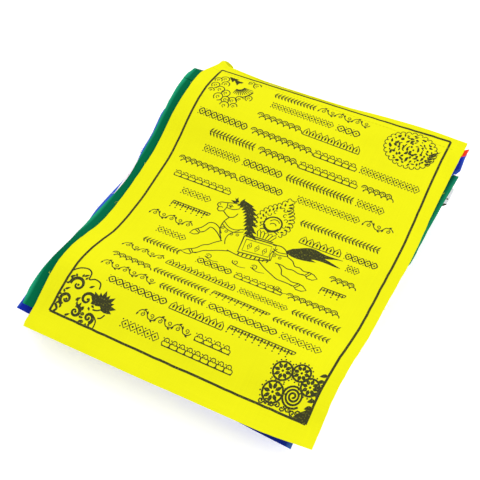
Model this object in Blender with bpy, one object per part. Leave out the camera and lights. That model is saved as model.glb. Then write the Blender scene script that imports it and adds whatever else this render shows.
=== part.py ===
# Folded string of prayer flags.
# Ten printed cloth flags hang by their top hems on one cord. The string is folded back and forth
# at the cord, so that the flags lie in a soft, uneven pile with their hems together at the far end.
#
# Frame: metres, +Z up. X runs across the flags, Y from their free ends to their hems.
# The origin is on the surface that the pile lies on, under the middle of the top flag.
# Run with: blender --background --python part.py

import math
from collections import namedtuple

import bmesh
import bpy
from mathutils import Vector

MM = 0.001

# Driving dimensions
FLAG_WIDTH = 200 * MM
CLOTH = 1.0 * MM
LAYER_STEP = 1.35 * MM
HEM_CLOTH = 0.5 * MM
HEM_DEPTH = 13 * MM
HEM_GAP = 0.3 * MM
PINCH = 4 * MM
CORD_DIAMETER = 1.2 * MM
CORD_GAP = 0.25 * MM
CORD_REACH = 1.5 * MM
CORD_TUCK = 4 * MM
ROW_SPACING = 8 * MM
COLUMNS = 5
FOLD_ANGLES = (90, 45, 0, -45, -90)
CORD_TURN_STEPS = 6
CORD_TURN_RADIUS = 1.3 * MM

# The hem's fold is a tube round the cord.
TUBE_INSIDE = CORD_DIAMETER / 2 + CORD_GAP
TUBE_OUTSIDE = TUBE_INSIDE + HEM_CLOTH

# Height of the top flag over the flattest possible pile, in millimetres, at its left and right
# edges. The rows run from the hems, where ten hems and the cord in them pad the pile, over the
# hollow in the middle, to the soft ridge across the pile and the drooping free ends.
Section = namedtuple("Section", "along left right")
SECTIONS = [
    Section(128, 16, 24),
    Section(115, 19, 26),
    Section(100, 20, 18),
    Section(79, 19, 14),
    Section(52, 7, 8),
    Section(18, 2, 7),
    Section(-16, 0, 4),
    Section(-44, 9, 11),
    Section(-68, 17.5, 17.5),
    Section(-92, 15, 14),
    Section(-110, 11, 9),
    Section(-128, 8, 10),
]

# Each flag under the top one follows the height above by so much less. The lowest lies flat.
SHARE_STEP = 0.105

# The flags from top to bottom, in millimetres and degrees. length runs from the free end to the
# fold of the hem; across, along and turn place the flag's middle; lean is how far the hem has
# slipped sideways against the free end; bow is how far the free end bulges in its middle; flare
# and flare_depth are how far the right end of the hem sticks out, and over what depth.
Flag = namedtuple("Flag", "name colour length across along turn lean bow flare flare_depth")
FLAGS = [
    Flag("yellow_upper", "yellow", 254.5, 0, -0.75, 0, 6, 2.5, 0, 1),
    Flag("green_upper", "green", 230, -8.5, 0.5, -0.8, 4, 1, 0, 1),
    Flag("red_upper", "red", 236, -6.5, 6.5, -0.5, 6, 0, 7, 8),
    Flag("white_upper", "white", 230, -9, 6, -1.0, 0, 1, 0, 1),
    Flag("blue_upper", "blue", 252, -8, 5, -3.4, 3.5, 0, 6, 20),
    Flag("yellow_lower", "yellow", 236, -9, 7, -1.0, 0, 1, 0, 1),
    Flag("green_lower", "green", 238, -4.5, 6, -3.2, 5, 0, 4.5, 20),
    Flag("red_lower", "red", 236, -9, 6, -1.5, 0, -1, 3, 14),
    Flag("white_lower", "white", 228, -5, -1, -1.5, 0, 1, 12, 22),
    Flag("blue_lower", "blue", 230, -9, 3, -1.0, 0, 0, 0, 1),
]
LOWEST = len(FLAGS) - 1

COLOURS = {
    "yellow": (0.90, 0.88, 0.02, 1.0),
    "green": (0.0, 0.14, 0.07, 1.0),
    "red": (0.75, 0.03, 0.02, 1.0),
    "white": (0.80, 0.78, 0.84, 1.0),
    "blue": (0.01, 0.03, 0.45, 1.0),
    "cord": (0.72, 0.60, 0.45, 1.0),
}
CLOTH_ROUGHNESS = 0.85


def remove_scene_objects():
    for obj in list(bpy.data.objects):
        bpy.data.objects.remove(obj, do_unlink=True)


def height_at(along, column):
    """Smooth height between the rows of SECTIONS for one column, in metres."""
    rows = sorted(SECTIONS)
    places = [row.along for row in rows]
    heights = [getattr(row, column) for row in rows]
    last = len(rows) - 1
    y = min(max(along / MM, places[0]), places[last])
    i = 0
    while i < last - 1 and y > places[i + 1]:
        i += 1
    slopes = []
    for j in (i, i + 1):
        before = max(j - 1, 0)
        after = min(j + 1, last)
        slopes.append((heights[after] - heights[before]) / (places[after] - places[before]))
    span = places[i + 1] - places[i]
    f = (y - places[i]) / span
    rise = heights[i + 1] - heights[i]
    ease = f * f * (3 - 2 * f)
    bend = f * (1 - f) * ((1 - f) * slopes[0] - f * slopes[1]) * span
    return (heights[i] + rise * ease + bend) * MM


def relief(x, y):
    """Height of the top flag's underside over the flattest pile at a point of the surface."""
    left = height_at(y, "left")
    right = height_at(y, "right")
    return left + (right - left) * (x / FLAG_WIDTH + 0.5)


def share(index):
    """The part of the relief that a flag follows."""
    return 0 if index == LOWEST else 1 - index * SHARE_STEP


def level(index):
    """Height of a flag's underside where the pile is flattest."""
    return (LOWEST - index) * LAYER_STEP


def hem_is_under(index):
    """The flags lie face up and face down in turn, so every other hem is turned under."""
    return index % 2 == 0


def plan_point(flag, across, along):
    """Place on the surface of a point of the flat flag, measured from its middle."""
    slip = flag.lean * MM * along / (flag.length * MM)
    turn = math.radians(flag.turn)
    x = (across + slip) * math.cos(turn) - along * math.sin(turn) + flag.across * MM
    y = (across + slip) * math.sin(turn) + along * math.cos(turn) + flag.along * MM
    return x, y


def cloth_point(index, across, along, over):
    """Point of a flag: its place with the bow and the flare, and its height over the underside."""
    flag = FLAGS[index]
    reach = across / (FLAG_WIDTH / 2)
    half_length = flag.length * MM / 2
    bulge = flag.bow * MM * (1 - reach * reach) * (0.5 - along / (2 * half_length))
    flare_start = half_length - flag.flare_depth * MM
    if reach > 0 and along > flare_start:
        across += flag.flare * MM * reach * min(1, (along - flare_start) / (4 * MM))
    x, y = plan_point(flag, across, along - bulge)
    return Vector((x, y, level(index) + share(index) * relief(x, y) + over))


def tube_place(index):
    """Middle of the hem's tube: its place along the flag and its height over the underside.

    The tube is centred on the cloth, but the lowest one rests on the surface."""
    along = FLAGS[index].length * MM / 2 - TUBE_OUTSIDE
    return along, TUBE_OUTSIDE if index == LOWEST else CLOTH / 2


def cloth_profile(index):
    """Stations along the cloth from the free end, round the cord, to the hem's edge.

    Each station is a pair of points, outside and inside the fold, as (along, over)."""
    tube_along, tube_over = tube_place(index)
    if not hem_is_under(index):
        tube_over = CLOTH - tube_over
    free_end = -FLAGS[index].length * MM / 2
    pinch = tube_along - PINCH
    count = round((pinch - free_end) / ROW_SPACING)
    rows = [free_end + (pinch - free_end) * i / count for i in range(count + 1)]
    stations = [((row, CLOTH), (row, 0)) for row in rows]
    for degrees in FOLD_ANGLES:
        angle = math.radians(degrees)
        pair = []
        for radius in (TUBE_OUTSIDE, TUBE_INSIDE):
            along = tube_along + radius * math.cos(angle)
            pair.append((along, tube_over + radius * math.sin(angle)))
        stations.append(tuple(pair))
    for row in (pinch, tube_along - HEM_DEPTH):
        stations.append(((row, -HEM_GAP - HEM_CLOTH), (row, -HEM_GAP)))
    if hem_is_under(index):
        return stations
    return [tuple((along, CLOTH - over) for along, over in pair) for pair in stations]


def make_material(name):
    material = bpy.data.materials.new(name)
    material.use_nodes = True
    shader = material.node_tree.nodes["Principled BSDF"]
    shader.inputs["Base Color"].default_value = COLOURS[name.split("_")[0]]
    shader.inputs["Roughness"].default_value = CLOTH_ROUGHNESS
    shader.inputs["Metallic"].default_value = 0.0
    return material


def make_flag(index):
    """One flag: a grid laid along the outside of the cloth and extruded to its inside."""
    flag = FLAGS[index]
    stations = cloth_profile(index)
    bm = bmesh.new()
    bmesh.ops.create_grid(bm, x_segments=COLUMNS, y_segments=len(stations) - 1, size=0.5)
    across_key = bm.verts.layers.float.new("across")
    station_key = bm.verts.layers.int.new("station")
    for vert in bm.verts:
        vert[across_key] = vert.co.x * FLAG_WIDTH
        vert[station_key] = round((vert.co.y + 0.5) * (len(stations) - 1))
    inside = bmesh.ops.extrude_face_region(bm, geom=list(bm.faces))
    inside_verts = {item for item in inside["geom"] if isinstance(item, bmesh.types.BMVert)}
    for vert in bm.verts:
        side = 1 if vert in inside_verts else 0
        along, over = stations[vert[station_key]][side]
        vert.co = cloth_point(index, vert[across_key], along, over)
    bmesh.ops.recalc_face_normals(bm, faces=bm.faces)
    if bm.calc_volume(signed=True) < 0:
        bmesh.ops.reverse_faces(bm, faces=bm.faces)
    mesh = bpy.data.meshes.new(flag.name)
    bm.to_mesh(mesh)
    bm.free()
    mesh.materials.append(make_material(flag.colour + "_cloth"))
    mesh.shade_smooth()
    mesh.set_sharp_from_angle(angle=math.radians(40))
    obj = bpy.data.objects.new(flag.name, mesh)
    bpy.context.collection.objects.link(obj)


def hem_pass(index):
    """Points of the cord through one hem. The string's own two ends stay hidden in their hems."""
    half_width = FLAG_WIDTH / 2
    places = [-half_width + FLAG_WIDTH * i / COLUMNS for i in range(COLUMNS + 1)]
    along, over = tube_place(index)
    points = [cloth_point(index, place, along, over) for place in places]
    if index in (0, LOWEST):
        points[0] = points[0] + (points[1] - points[0]).normalized() * CORD_TUCK
    return points if hem_is_under(index) else points[::-1]


def turn_points(upper, before, after):
    """Points of the cord's turn from one hem's end to the next: out of the hem, half round, and in."""
    side = 1 if hem_is_under(upper) else -1
    out_x = side * (max(side * before[-1].x, side * after[0].x) + CORD_REACH)
    leave = Vector((out_x, before[-1].y, before[-1].z))
    enter = Vector((out_x, after[0].y, after[0].z))
    middle = (leave + enter) / 2
    half = (leave - enter) / 2
    bulge = max(CORD_TURN_RADIUS, math.sqrt(CORD_TURN_RADIUS * half.length))
    points = []
    for step in range(CORD_TURN_STEPS + 1):
        angle = math.pi * step / CORD_TURN_STEPS
        points.append(middle + half * math.cos(angle) + Vector((side * bulge * math.sin(angle), 0, 0)))
    return points


def make_cord():
    """The cord, whole: through each hem's fold and round from each flag to the next."""
    passes = [hem_pass(index) for index in range(len(FLAGS))]
    route = list(passes[0])
    for index in range(1, len(FLAGS)):
        route += turn_points(index - 1, passes[index - 1], passes[index])
        route += passes[index]
    curve = bpy.data.curves.new("cord", "CURVE")
    curve.dimensions = "3D"
    curve.bevel_depth = CORD_DIAMETER / 2
    curve.bevel_resolution = 2
    curve.use_fill_caps = True
    spline = curve.splines.new("POLY")
    spline.points.add(len(route) - 1)
    for place, point in zip(spline.points, route):
        place.co = (*point, 1)
    curve.materials.append(make_material("cord_fibre"))
    obj = bpy.data.objects.new("cord", curve)
    bpy.context.collection.objects.link(obj)


def build():
    remove_scene_objects()
    for index in range(len(FLAGS)):
        make_flag(index)
    make_cord()


build()
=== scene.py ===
"""Looks of the folded string of prayer flags: ten printed cloths on one cord."""

import math
import random
from bisect import bisect_right
from collections import namedtuple

import bmesh
import bpy
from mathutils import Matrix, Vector, geometry, noise


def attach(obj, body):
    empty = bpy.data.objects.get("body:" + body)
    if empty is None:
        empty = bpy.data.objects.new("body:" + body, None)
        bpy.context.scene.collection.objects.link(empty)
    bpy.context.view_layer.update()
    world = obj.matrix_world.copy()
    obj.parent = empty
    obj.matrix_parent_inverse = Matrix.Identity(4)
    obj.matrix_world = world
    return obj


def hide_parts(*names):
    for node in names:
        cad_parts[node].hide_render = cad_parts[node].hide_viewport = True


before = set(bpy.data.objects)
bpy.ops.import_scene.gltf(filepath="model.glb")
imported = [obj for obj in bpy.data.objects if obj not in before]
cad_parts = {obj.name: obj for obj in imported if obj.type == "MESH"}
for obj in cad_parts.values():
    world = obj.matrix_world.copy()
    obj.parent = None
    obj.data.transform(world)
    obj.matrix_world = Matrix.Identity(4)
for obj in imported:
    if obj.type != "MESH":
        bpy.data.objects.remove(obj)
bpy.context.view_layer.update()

# Camera
# It looks down on the pile from the front right, through a short telephoto lens.
CAMERA_PLACE = (0.17508, -0.37906, 0.60221)
CAMERA_AZIMUTH = 26.144
CAMERA_ELEVATION = 54.543
CAMERA_LENS = 79.61


def add_object(name, data):
    """Puts a new object in the scene, at the origin."""
    made = bpy.data.objects.new(name, data)
    bpy.context.scene.collection.objects.link(made)
    return made


camera_data = bpy.data.cameras.new("camera")
camera_data.lens = CAMERA_LENS
camera_data.sensor_width = 36
camera_data.clip_start = 0.01
camera = add_object("camera", camera_data)
camera.location = CAMERA_PLACE
camera.rotation_euler = (math.radians(90 - CAMERA_ELEVATION), 0, math.radians(CAMERA_AZIMUTH))
bpy.context.scene.camera = camera

# How the string is folded
# The string is folded back and forth at its cord, so the ten flags lie one on the other, face up
# and face down in turn. Their hems and the cord in them pad the far end of the pile, and a soft
# ridge runs across it. The solids follow the same folds with plainer edges and corners.
MM = 0.001
FLAG_WIDTH = 200 * MM
SOLID_CLOTH = 1.0 * MM
LAYER_STEP = 1.35 * MM
HEM_TUBE = 1.35 * MM
HEM_DEPTH = 13 * MM
PINCH = 4 * MM

Section = namedtuple("Section", "along left right")
SECTIONS = [
    Section(-128, 7.8, 9.6), Section(-112, 9.0, 8.4), Section(-96, 14.4, 14.5), Section(-80, 18.1, 17.6),
    Section(-64, 16.1, 16.2), Section(-50, 10.9, 10.7), Section(-36, 4.4, 7.4), Section(-20, 0.9, 6.1),
    Section(0, 0, 5.5), Section(20, 1.7, 5.6), Section(38, 3.1, 6.9), Section(54, 8.0, 8.6),
    Section(68, 15.2, 11.4), Section(82, 20.4, 14.8), Section(96, 22.3, 18.3), Section(110, 20.4, 23.1),
    Section(128, 16.1, 24.5),
]
SHARE_STEP = 0.105

Flag = namedtuple("Flag", "name colour length across along turn lean bow flare flare_depth")
FLAGS = [
    Flag("yellow_upper", "yellow", 254.5, 0, -0.75, 0, 6, 0.6, 0, 1),
    Flag("green_upper", "green", 228, -8.5, -0.5, -0.8, 4, 1, 0, 1),
    Flag("red_upper", "red", 236, -6.5, 6.5, -0.5, 6, 0, 7, 9.5),
    Flag("white_upper", "white", 230, -9, 6, -1.0, 0, 1, 0, 1),
    Flag("blue_upper", "blue", 252, -8, 5, -3.4, 3.5, 0, 6, 17),
    Flag("yellow_lower", "yellow", 236, -9, 7, -1.0, 0, 1, 0, 1),
    Flag("green_lower", "green", 238, -4.5, 6, -3.2, 5, 0, 0, 1),
    Flag("red_lower", "red", 236, -9, 6, -1.5, 0, -1, 3, 14),
    Flag("white_lower", "white", 228, -5, -1, -1.5, 0, 1, 8, 21),
    Flag("blue_lower", "blue", 230, -9, 3, -1.0, 0, 0, 0, 1),
]
LOWEST = len(FLAGS) - 1

# How far the top flag has crept sideways at its left and right, and its hem along the pile
Creep = namedtuple("Creep", "along left right")
TOP_CREEP = [
    Creep(-128, 1.3, 0.4), Creep(-96, 1.0, -0.7), Creep(-64, 0.8, 0.2), Creep(-32, 1.0, 0.8),
    Creep(0, 0.7, 0.4), Creep(32, 0, 0.5), Creep(64, -1.5, -0.7), Creep(96, -2.3, -1.8),
    Creep(128, -1.9, -2.0),
]
HemCreep = namedtuple("HemCreep", "across along")
TOP_HEM_CREEP = [
    HemCreep(-100, 0), HemCreep(-80, -0.8), HemCreep(-66, -2.2), HemCreep(-50, -3.4),
    HemCreep(-15, -3.1), HemCreep(15, -2.3), HemCreep(35, -0.6), HemCreep(60, 0.8),
    HemCreep(80, 0.9), HemCreep(100, 0),
]
HEM_CREEP_START = 121.8
HEM_CREEP_END = 126.4

# Corners that are pulled out of square when the string is folded up
Pull = namedtuple("Pull", "flag across along reach move_across move_along rise")
PULLS = [
    Pull(0, -102, 129, 21, 9.2, 3.0, 2.2),
    Pull(2, 107, 118, 17, 2.2, 7.4, 0.5),
    Pull(2, -100, 118, 18, 5.0, -5.0, 0),
    Pull(4, 106, 126, 17, -3.0, 8.2, 0),
    Pull(4, -100, 126, 26, 6.0, -9.0, 0),
    Pull(6, 101, 119, 16, 0, -3.5, 0),
]


def smooth_table(rows, column):
    """A smooth curve through one column of a table against its first column."""
    places = [row[0] for row in rows]
    values = [getattr(row, column) for row in rows]
    last = len(rows) - 1
    slopes = []
    for j in range(last + 1):
        before = max(j - 1, 0)
        after = min(j + 1, last)
        slopes.append((values[after] - values[before]) / (places[after] - places[before]))

    def curve_height(place):
        place = min(max(place, places[0]), places[last])
        i = min(max(bisect_right(places, place) - 1, 0), last - 1)
        span = places[i + 1] - places[i]
        f = (place - places[i]) / span
        bend = f * (1 - f) * ((1 - f) * slopes[i] - f * slopes[i + 1]) * span
        return values[i] + (values[i + 1] - values[i]) * smooth_step(f) + bend

    return curve_height


def smooth_step(f):
    f = min(max(f, 0), 1)
    return f * f * (3 - 2 * f)


left_height = smooth_table(SECTIONS, "left")
right_height = smooth_table(SECTIONS, "right")
left_creep = smooth_table(TOP_CREEP, "left")
right_creep = smooth_table(TOP_CREEP, "right")
hem_creep = smooth_table(TOP_HEM_CREEP, "along")


def relief(x, y):
    """Height of the top flag over the flattest pile."""
    left = left_height(y / MM)
    right = right_height(y / MM)
    return (left + (right - left) * (x / FLAG_WIDTH + 0.5)) * MM


def rest_height(index, x, y):
    """Height of a flag's underside: its level in the pile and its share of the folds."""
    share = 0 if index == LOWEST else 1 - index * SHARE_STEP
    return (LOWEST - index) * LAYER_STEP + share * relief(x, y)


def hem_is_under(index):
    return index % 2 == 0


def shaped_place(index, across, along):
    """Where the pulls, the creep and the flared hem end bring a point of the flat flag."""
    flag = FLAGS[index]
    reach = across / (FLAG_WIDTH / 2)
    flare_start = flag.length / 2 - flag.flare_depth
    rise = 0
    move_across = 0
    move_along = 0
    if reach > 0 and along / MM > flare_start:
        move_across += flag.flare * reach * min(1, (along / MM - flare_start) / 4)
    if index == 0:
        share = across / FLAG_WIDTH + 0.5
        move_across += left_creep(along / MM) * (1 - share) + right_creep(along / MM) * share
        near_hem = smooth_step((along / MM - HEM_CREEP_START) / (HEM_CREEP_END - HEM_CREEP_START))
        move_along += hem_creep(across / MM) * near_hem
    for pull in PULLS:
        if pull.flag == index:
            away = math.hypot(across / MM - pull.across, along / MM - pull.along) / pull.reach
            if away < 1:
                hold = (1 - away * away) ** 2
                move_across += pull.move_across * hold
                move_along += pull.move_along * hold
                rise += pull.rise * hold
    return across + move_across * MM, along + move_along * MM, rise * MM


def plan_place(index, across, along):
    """Place on the floor plan of a point of the shaped flag, with its bow, its lean and its turn."""
    flag = FLAGS[index]
    reach = across / (FLAG_WIDTH / 2)
    along -= flag.bow * MM * (1 - reach * reach) * (0.5 - along / (flag.length * MM))
    across += flag.lean * MM * along / (flag.length * MM)
    turn = math.radians(flag.turn)
    x = across * math.cos(turn) - along * math.sin(turn) + flag.across * MM
    y = across * math.sin(turn) + along * math.cos(turn) + flag.along * MM
    return x, y


def pile_point(index, across, along, over):
    across, along, rise = shaped_place(index, across, along)
    x, y = plan_place(index, across, along)
    return Vector((x, y, rest_height(index, x, y) + over + rise))


def hem_middle(index):
    """Middle of the hem's fold: its place along the flag and its height over the underside."""
    along = FLAGS[index].length * MM / 2 - HEM_TUBE
    return along, HEM_TUBE if index == LOWEST else SOLID_CLOTH / 2


# Cord
# One thin three-ply cotton cord is threaded through the ten hems and turns back between each flag
# and the next. The cloth holds it all the way, and its two ends stay inside the outer hems.
CORD_RADIUS = 0.58 * MM
PLY_RADIUS = 0.30 * MM
PLY_LAY = 4.2 * MM
CORD_STEP = 0.9 * MM
CORD_REACH = 0.3 * MM
CORD_TUCK = 4 * MM
CORD_TURN_STEPS = 6
CORD_TURN_RADIUS = 1.1 * MM
HEM_POINTS = 20


def hem_pass(index):
    half_width = FLAG_WIDTH / 2
    along, over = hem_middle(index)
    points = []
    for i in range(HEM_POINTS + 1):
        across = -half_width + FLAG_WIDTH * i / HEM_POINTS
        points.append(pile_point(index, across, along, over))
    if index in (0, LOWEST):
        points[0] = points[0] + (points[1] - points[0]).normalized() * CORD_TUCK
    return points if hem_is_under(index) else points[::-1]


def cord_turn(upper, before, after):
    """The cord's short way from the end of one hem into the next one under it."""
    side = 1 if hem_is_under(upper) else -1
    out = Vector((side * CORD_REACH, 0, 0))
    leave = before[-1] + out
    enter = after[0] + out
    middle = (leave + enter) / 2
    half = (leave - enter) / 2
    points = []
    for step in range(CORD_TURN_STEPS + 1):
        angle = math.pi * step / CORD_TURN_STEPS
        bulge = Vector((side * CORD_TURN_RADIUS * math.sin(angle), 0, 0))
        points.append(middle + half * math.cos(angle) + bulge)
    return points


def cord_route():
    """Evenly spaced points along the whole cord, on a smooth curve through its hems and turns."""
    passes = [hem_pass(index) for index in range(len(FLAGS))]
    knots = list(passes[0])
    for index in range(1, len(FLAGS)):
        knots += cord_turn(index - 1, passes[index - 1], passes[index])
        knots += passes[index]
    route = [knots[0]]
    for i in range(len(knots) - 1):
        before = knots[max(i - 1, 0)]
        start, end = knots[i], knots[i + 1]
        after = knots[min(i + 2, len(knots) - 1)]
        reach = (end - start).length
        pull_out = (end - before).normalized() * reach
        pull_in = (after - start).normalized() * reach
        steps = max(1, round(reach / CORD_STEP))
        for step in range(1, steps + 1):
            f = step / steps
            bend = f * (1 - f) * ((1 - f) * pull_out - f * pull_in)
            route.append(start.lerp(end, smooth_step(f)) + bend)
    return route


def ply_section():
    """The cord's cross-section: three round plies side by side, drawn as one closed curve."""
    data = bpy.data.curves.new("ply_section", "CURVE")
    data.dimensions = "2D"
    spline = data.splines.new("POLY")
    sides = 12
    spline.points.add(sides - 1)
    valley = CORD_RADIUS - PLY_RADIUS * 0.45
    for i, point in enumerate(spline.points):
        angle = 2 * math.pi * i / sides
        radius = valley + (CORD_RADIUS - valley) * (0.5 + 0.5 * math.cos(3 * angle))
        point.co = (radius * math.cos(angle), radius * math.sin(angle), 0, 1)
    spline.use_cyclic_u = True
    return add_object("ply_section", data)


def make_cord():
    route = cord_route()
    section = ply_section()
    data = bpy.data.curves.new("twisted_cord", "CURVE")
    data.dimensions = "3D"
    data.bevel_mode = "OBJECT"
    data.bevel_object = section
    data.use_fill_caps = True
    data.twist_mode = "MINIMUM"
    spline = data.splines.new("POLY")
    spline.points.add(len(route) - 1)
    travelled = 0
    for i, (place, point) in enumerate(zip(spline.points, route)):
        travelled += (point - route[max(i - 1, 0)]).length
        place.co = (*point, 1)
        place.tilt = 2 * math.pi * travelled / PLY_LAY
    laid = add_object("cord_route", data)
    depsgraph = bpy.context.evaluated_depsgraph_get()
    mesh = bpy.data.meshes.new_from_object(laid.evaluated_get(depsgraph))
    bpy.data.objects.remove(laid)
    bpy.data.objects.remove(section)
    bm = bmesh.new()
    bm.from_mesh(mesh)
    bmesh.ops.remove_doubles(bm, verts=bm.verts, dist=0.001 * MM)
    bmesh.ops.recalc_face_normals(bm, faces=bm.faces)
    bm.to_mesh(mesh)
    bm.free()
    mesh.name = "twisted_cord"
    mesh.shade_smooth()
    return add_object("twisted_cord", mesh)


class Shade:
    """A socket in a material, so that shader maths is written as plain sums."""

    def __init__(self, tree, socket=None):
        self.tree = tree
        self.socket = socket

    def node(self, kind, inputs=None, output=0, **settings):
        """Adds a node: its settings first, a ramp's stops among them, then its sockets."""
        made = self.tree.nodes.new(kind)
        stops = settings.pop("stops", None)
        for name, value in settings.items():
            setattr(made, name, value)
        if stops:
            ramp = made.color_ramp.elements
            while len(ramp) < len(stops):
                ramp.new(0.5)
            for element, (position, colour) in zip(ramp, stops):
                element.position = position
                element.color = colour
        for name, value in (inputs or {}).items():
            if isinstance(value, Shade):
                self.tree.links.new(value.socket, made.inputs[name])
            else:
                made.inputs[name].default_value = value
        return Shade(self.tree, made.outputs[output])

    def maths(self, operation, first, second):
        return self.node("ShaderNodeMath", {0: first, 1: second}, operation=operation)

    def sine(self):
        return self.node("ShaderNodeMath", {0: self}, operation="SINE")

    def __add__(self, other):
        return self.maths("ADD", self, other)

    def __sub__(self, other):
        return self.maths("SUBTRACT", self, other)

    def __rsub__(self, other):
        return self.maths("SUBTRACT", other, self)

    def __mul__(self, other):
        return self.maths("MULTIPLY", self, other)

    __radd__ = __add__
    __rmul__ = __mul__


def new_finish(name, roughness, **constants):
    """A material, the Shade helper for its tree, and its shader, with the constants set on it."""
    material = bpy.data.materials.new(name)
    material.use_nodes = True
    tree = material.node_tree
    shader = tree.nodes["Principled BSDF"]
    shader.inputs["Roughness"].default_value = roughness
    for socket, value in constants.items():
        shader.inputs[socket.replace("_", " ")].default_value = value
    return material, Shade(tree), shader


def feed(shade, shader, socket):
    shade.tree.links.new(shade.socket, shader.inputs[socket])


CORD_COLOUR = (0.93, 0.91, 0.87, 1)
CORD_SHADOW = (0.82, 0.77, 0.71, 1)


def cord_finish():
    """Undyed cotton, a little greyer where it has been handled, with fine fibres."""
    material, shade, shader = new_finish("cord_cotton", 0.9, Sheen_Weight=0.2)
    place = shade.node("ShaderNodeTexCoord", output="Object")
    patches = shade.node("ShaderNodeTexNoise", {"Vector": place, "Scale": 140.0, "Detail": 3.0})
    fibres = shade.node("ShaderNodeTexNoise", {"Vector": place, "Scale": 2600.0, "Detail": 2.0})
    colour = shade.node("ShaderNodeMix", {"Factor": patches, "A": CORD_SHADOW, "B": CORD_COLOUR},
                        output="Result", data_type="RGBA")
    feed(colour, shader, "Base Color")
    bump = shade.node("ShaderNodeBump", {"Height": fibres, "Strength": 0.4, "Distance": 0.1 * MM})
    feed(bump, shader, "Normal")
    return material


cord = make_cord()
cord.data.materials.append(cord_finish())
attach(cord, "root")
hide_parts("cord")


# The printed block
# Each flag is printed from one carved wood block: a ruled frame, rows of small ornament, a horse
# with a flaming jewel in the middle and a figure in each corner. All measures are in millimetres
# from the top left corner of the frame, across and down.
BLOCK_WIDTH = 178
BLOCK_HEIGHT = 232
FRAME_LINE = 1.6
TOP_LINE = 1.25
FRAME_STEPS = 40
FRAME_WOBBLE = 0.12
PRINT_SEED = 5
STROKE = 0.75
ROW_HALF = 3.1

Row = namedtuple("Row", "left right down")
ROWS = [
    Row(0.266, 0.682, 0.035), Row(0.282, 0.664, 0.078), Row(0.252, 0.694, 0.128), Row(0.027, 0.971, 0.183),
    Row(0.106, 0.884, 0.232), Row(0.114, 0.881, 0.282), Row(0.038, 0.487, 0.335), Row(0.552, 0.945, 0.335),
    Row(0.056, 0.302, 0.389), Row(0.606, 0.929, 0.406), Row(0.124, 0.249, 0.442), Row(0.641, 0.951, 0.460),
    Row(0.117, 0.279, 0.498), Row(0.852, 0.901, 0.498), Row(0.064, 0.243, 0.548), Row(0.814, 0.909, 0.548),
    Row(0.133, 0.253, 0.600), Row(0.806, 0.901, 0.600), Row(0.113, 0.268, 0.655), Row(0.343, 0.905, 0.655),
    Row(0.074, 0.943, 0.706), Row(0.074, 0.936, 0.760), Row(0.073, 0.935, 0.807), Row(0.134, 0.863, 0.853),
    Row(0.298, 0.663, 0.907), Row(0.262, 0.699, 0.951),
]


def through(points, steps=4):
    """More points, on a smooth open curve through the given ones."""
    line = [Vector(points[0])]
    last = len(points) - 1
    for i in range(last):
        start, end = Vector(points[i]), Vector(points[i + 1])
        pull_out = (end - Vector(points[max(i - 1, 0)])) / 2
        pull_in = (Vector(points[min(i + 2, last)]) - start) / 2
        for step in range(1, steps + 1):
            f = step / steps
            bend = f * (1 - f) * ((1 - f) * pull_out - f * pull_in)
            line.append(start.lerp(end, smooth_step(f)) + bend)
    return line


def stroke(points, width=STROKE, end_width=None):
    """A cut line: one four-sided shape for each part of it, tapering if it has an end width."""
    end_width = width if end_width is None else end_width
    count = len(points) - 1
    sides = []
    for i in range(count + 1):
        run = Vector(points[min(i + 1, count)]) - Vector(points[max(i - 1, 0)])
        half = (width + (end_width - width) * i / count) / 2
        side = Vector((-run.y, run.x)).normalized() * half
        sides.append((Vector(points[i]) - side, Vector(points[i]) + side))
    return [[sides[i][0], sides[i + 1][0], sides[i + 1][1], sides[i][1]] for i in range(count)]


def curve(points, width=STROKE, end_width=None, steps=4):
    return stroke(through(points, steps), width, end_width)


def arc(middle, radius, start, end, steps=6):
    """Points along an arc, with its angles in degrees, clockwise as seen on the flag."""
    return spiral(middle, radius, radius, start, (end - start) / 360, steps)


def heading(angle):
    return Vector((math.cos(angle), math.sin(angle)))


def spiral(middle, outer, inner, start, turns, steps=12):
    points = []
    for i in range(steps + 1):
        radius = outer + (inner - outer) * i / steps
        angle = math.radians(start + 360 * turns * i / steps)
        points.append(Vector((middle[0] + radius * math.cos(angle), middle[1] + radius * math.sin(angle))))
    return points


def dot(middle, radius, sides=7):
    return [arc(middle, radius, 0, 360 - 360 / sides, sides - 1)]


def leaf(root, tip, width, steps=4):
    """A solid leaf, flame or petal, widest towards its root."""
    root, tip = Vector(root), Vector(tip)
    run = tip - root
    side = Vector((-run.y, run.x)).normalized() * width / 2
    right = []
    left = []
    for i in range(1, steps):
        swell = math.sin(math.pi * (i / steps) ** 0.75)
        right.append(root + run * i / steps - side * swell)
        left.append(root + run * i / steps + side * swell)
    return [[root] + right + [tip] + left[::-1]]


def middles(left, right, pitch):
    """Evenly spaced middles of as many repeats as fit, and their true pitch."""
    count = max(1, round((right - left) / pitch))
    pitch = (right - left) / count
    return [left + pitch * (i + 0.5) for i in range(count)], pitch


def vine_border(left, right, y):
    xs, pitch = middles(left, right, 6.4)
    stem = []
    shapes = []
    for k, x in enumerate(xs):
        side = 1 if k % 2 else -1
        stem += [(x - pitch / 2, y), (x - pitch / 4, y + side * 1.9), (x + pitch / 4, y + side * 1.9)]
        shapes += stroke(spiral((x, y - side * 0.5), 1.6, 0.4, 90 * side, -1.2 * side, 9), 0.65, 0.5)
        shapes += leaf((x - 0.4, y + side * 1.9), (x + 1.6, y + side * 3.5), 1.4, 3)
        shapes += leaf((x - pitch / 2, y), (x - pitch / 2 - 0.6, y - side * 2.6), 1.3, 3)
    return shapes + curve(stem + [(right, y)], 0.7, None, 2)


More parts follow.
